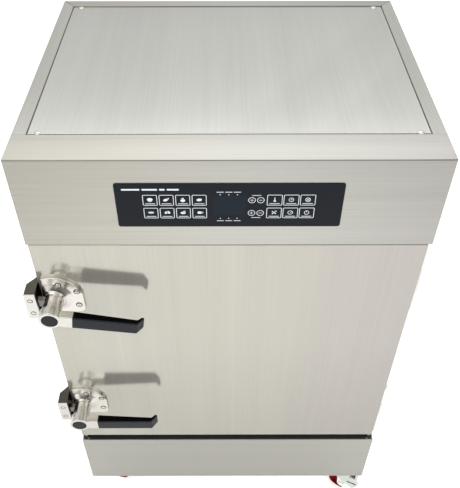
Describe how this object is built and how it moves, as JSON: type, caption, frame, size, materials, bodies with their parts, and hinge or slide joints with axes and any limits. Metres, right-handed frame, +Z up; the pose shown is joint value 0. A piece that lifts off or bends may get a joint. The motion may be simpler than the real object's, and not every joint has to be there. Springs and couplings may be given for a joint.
{
  "type": "commercial food steamer cabinet",
  "caption": "Tall brushed-steel steamer cabinet on swivel casters, with a recessed top cover, a dark touch panel in the header and a single door held by two lever latches.",
  "frame": {"origin": "on the floor under the middle of the whole object, grips and rear fittings included", "axes": "+Z up, the door faces -Y, the door's hinges are on the +X side"},
  "size_m": [0.7392, 0.682, 1.12],
  "materials": {
    "brushed_steel_outer": "satin brushed grain",
    "brushed_steel_inner": "satin",
    "bright_fittings": "satin chrome plate",
    "bracket_dark": "dark satin",
    "touch_panel": "gloss black",
    "handle_plastic": "satin black",
    "gasket_rubber": "matt silicone",
    "insulation_foam": "foam",
    "valve_brass": "cast",
    "zinc_plate": "bright zinc plate",
    "wheel_red": "gloss polyurethane",
    "valve_handle": "red vinyl coat"
  },
  "bodies": {
    "cabinet": {"side_panel_left": "brushed_steel_outer", "side_panel_right": "brushed_steel_outer", "back_panel": "brushed_steel_outer", "control_fascia": "brushed_steel_outer", "top_cover": "brushed_steel_outer", "control_panel": "touch_panel", "lower_panel": "brushed_steel_outer", "base_frame": "brushed_steel_inner", "door_frame": "brushed_steel_outer", "chamber_liner": "brushed_steel_inner", "insulation": "insulation_foam", "water_tank": "brushed_steel_inner", "heating_elements": "brushed_steel_inner", "steam_plate": "brushed_steel_inner", "tray_rack_left": "brushed_steel_inner", "tray_rack_right": "brushed_steel_inner", "inlet_valve": "valve_brass", "drain_valve": "valve_brass", "exhaust_vent": "brushed_steel_inner", "cable_gland": "handle_plastic", "keeper_bracket_upper": "bracket_dark", "keeper_bracket_lower": "bracket_dark", "strike_plate_upper": "bright_fittings", "strike_plate_lower": "bright_fittings", "hinge_leaf_fixed_upper": "bright_fittings", "hinge_leaf_fixed_lower": "bright_fittings", "caster_plate_fl": "zinc_plate", "caster_plate_fr": "zinc_plate", "caster_plate_rl": "zinc_plate", "caster_plate_rr": "zinc_plate"},
    "door": {"door_skin": "brushed_steel_outer", "door_inner_panel": "brushed_steel_inner", "door_gasket": "gasket_rubber", "latch_housing_upper": "bright_fittings", "latch_housing_lower": "bright_fittings", "hinge_leaf_door_upper": "bright_fittings", "hinge_leaf_door_lower": "bright_fittings"},
    "latch_upper": {"spindle_upper": "bright_fittings", "lever_upper": "bright_fittings", "grip_upper": "handle_plastic"},
    "latch_lower": {"spindle_lower": "bright_fittings", "lever_lower": "bright_fittings", "grip_lower": "handle_plastic"},
    "drain_handle": {"drain_lever": "valve_handle"},
    "tray_1": {"tray_1": "brushed_steel_inner"},
    "tray_2": {"tray_2": "brushed_steel_inner"},
    "tray_3": {"tray_3": "brushed_steel_inner"},
    "tray_4": {"tray_4": "brushed_steel_inner"},
    "tray_5": {"tray_5": "brushed_steel_inner"},
    "tray_6": {"tray_6": "brushed_steel_inner"},
    "swivel_fl": {"caster_fork_fl": "zinc_plate"},
    "wheel_fl": {"caster_wheel_fl": "wheel_red"},
    "brake_fl": {"caster_brake_fl": "zinc_plate"},
    "swivel_fr": {"caster_fork_fr": "zinc_plate"},
    "wheel_fr": {"caster_wheel_fr": "wheel_red"},
    "brake_fr": {"caster_brake_fr": "zinc_plate"},
    "swivel_rl": {"caster_fork_rl": "zinc_plate"},
    "wheel_rl": {"caster_wheel_rl": "wheel_red"},
    "swivel_rr": {"caster_fork_rr": "zinc_plate"},
    "wheel_rr": {"caster_wheel_rr": "wheel_red"}
  },
  "joints": [
    {"name": "door_hinge", "type": "hinge", "parent": "cabinet", "child": "door", "pos_m": [0.362, -0.221, 0.6], "axis": [0, 0, 1], "range_deg": [0, 180]},
    {"name": "latch_upper_turn", "type": "hinge", "parent": "door", "child": "latch_upper", "pos_m": [-0.32, -0.277, 0.813], "axis": [0, -1, 0], "range_deg": [0, 98]},
    {"name": "latch_lower_turn", "type": "hinge", "parent": "door", "child": "latch_lower", "pos_m": [-0.32, -0.277, 0.463], "axis": [0, -1, 0], "range_deg": [0, 90]},
    {"name": "drain_lever_turn", "type": "hinge", "parent": "cabinet", "child": "drain_handle", "pos_m": [-0.2, 0.3173, 0.2405], "axis": [0, 0, 1], "range_deg": [0, 90]},
    {"name": "tray_1_slide", "type": "slide", "parent": "cabinet", "child": "tray_1", "axis": [0, -1, 0], "range_m": [0, 0.025]},
    {"name": "tray_2_slide", "type": "slide", "parent": "cabinet", "child": "tray_2", "axis": [0, -1, 0], "range_m": [0, 0.025]},
    {"name": "tray_3_slide", "type": "slide", "parent": "cabinet", "child": "tray_3", "axis": [0, -1, 0], "range_m": [0, 0.025]},
    {"name": "tray_4_slide", "type": "slide", "parent": "cabinet", "child": "tray_4", "axis": [0, -1, 0], "range_m": [0, 0.025]},
    {"name": "tray_5_slide", "type": "slide", "parent": "cabinet", "child": "tray_5", "axis": [0, -1, 0], "range_m": [0, 0.025]},
    {"name": "tray_6_slide", "type": "slide", "parent": "cabinet", "child": "tray_6", "axis": [0, -1, 0], "range_m": [0, 0.025]},
    {"name": "swivel_fl_turn", "type": "hinge", "parent": "cabinet", "child": "swivel_fl", "pos_m": [-0.286, -0.2335, 0.09], "axis": [0, 0, 1], "continuous": true},
    {"name": "wheel_fl_spin", "type": "hinge", "parent": "swivel_fl", "child": "wheel_fl", "pos_m": [-0.27976, -0.20416, 0.0375], "axis": [0.9781, -0.2079, 0], "continuous": true},
    {"name": "brake_fl_press", "type": "hinge", "parent": "swivel_fl", "child": "brake_fl", "pos_m": [-0.27768, -0.19437, 0.0785], "axis": [-0.9781, 0.2079, 0], "range_deg": [0, 7]},
    {"name": "swivel_fr_turn", "type": "hinge", "parent": "cabinet", "child": "swivel_fr", "pos_m": [0.286, -0.2335, 0.09], "axis": [0, 0, 1], "continuous": true},
    {"name": "wheel_fr_spin", "type": "hinge", "parent": "swivel_fr", "child": "wheel_fr", "pos_m": [0.31341, -0.2457, 0.0375], "axis": [-0.4067, -0.9135, 0], "continuous": true},
    {"name": "brake_fr_press", "type": "hinge", "parent": "swivel_fr", "child": "brake_fr", "pos_m": [0.32254, -0.24977, 0.0785], "axis": [0.4067, 0.9135, 0], "range_deg": [0, 7]},
    {"name": "swivel_rl_turn", "type": "hinge", "parent": "cabinet", "child": "swivel_rl", "pos_m": [-0.286, 0.248, 0.09], "axis": [0, 0, 1], "continuous": true},
    {"name": "wheel_rl_spin", "type": "hinge", "parent": "swivel_rl", "child": "wheel_rl", "pos_m": [-0.27192, 0.27449, 0.0375], "axis": [0.8829, -0.4695, 0], "continuous": true},
    {"name": "swivel_rr_turn", "type": "hinge", "parent": "cabinet", "child": "swivel_rr", "pos_m": [0.286, 0.248, 0.09], "axis": [0, 0, 1], "continuous": true},
    {"name": "wheel_rr_spin", "type": "hinge", "parent": "swivel_rr", "child": "wheel_rr", "pos_m": [0.25881, 0.26068, 0.0375], "axis": [0.4226, 0.9063, 0], "continuous": true}
  ]
}
